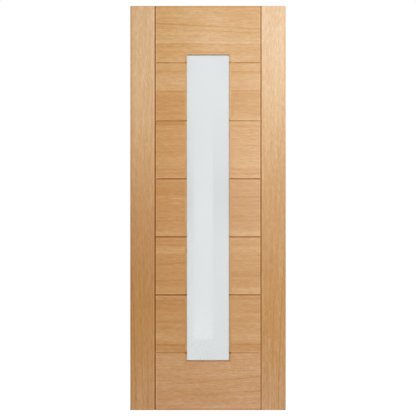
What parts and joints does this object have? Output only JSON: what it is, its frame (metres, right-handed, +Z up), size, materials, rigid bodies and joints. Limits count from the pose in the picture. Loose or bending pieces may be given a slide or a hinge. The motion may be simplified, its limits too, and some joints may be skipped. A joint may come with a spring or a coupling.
{
  "type": "glazed interior door leaf",
  "caption": "Oak interior door leaf of V-jointed boards between full-height stiles, with a tall central slit of obscure glass held by mitred beads on both faces.",
  "frame": {"origin": "on the hinge edge of the leaf, in the middle of its thickness, at the foot", "axes": "+X across the leaf from the hinge edge to the lock edge, +Y from the front face to the back face, +Z up the leaf"},
  "size_m": [0.762, 0.035, 1.981],
  "materials": {
    "oak_veneer": "satin",
    "oak_solid": "satin",
    "obscure_glass": "satin"
  },
  "bodies": {
    "root": {"left_stile": "oak_veneer", "right_stile": "oak_veneer", "top_rail": "oak_veneer", "bottom_rail": "oak_veneer", "left_panel_1": "oak_veneer", "left_panel_2": "oak_veneer", "left_panel_3": "oak_veneer", "left_panel_4": "oak_veneer", "left_panel_5": "oak_veneer", "right_panel_1": "oak_veneer", "right_panel_2": "oak_veneer", "right_panel_3": "oak_veneer", "right_panel_4": "oak_veneer", "right_panel_5": "oak_veneer", "left_lipping": "oak_solid", "right_lipping": "oak_solid", "top_lipping": "oak_solid", "bottom_lipping": "oak_solid", "front_bead_left": "oak_solid", "front_bead_right": "oak_solid", "front_bead_top": "oak_solid", "front_bead_bottom": "oak_solid", "back_bead_left": "oak_solid", "back_bead_right": "oak_solid", "back_bead_top": "oak_solid", "back_bead_bottom": "oak_solid", "glass_pane": "obscure_glass"}
  },
  "joints": []
}
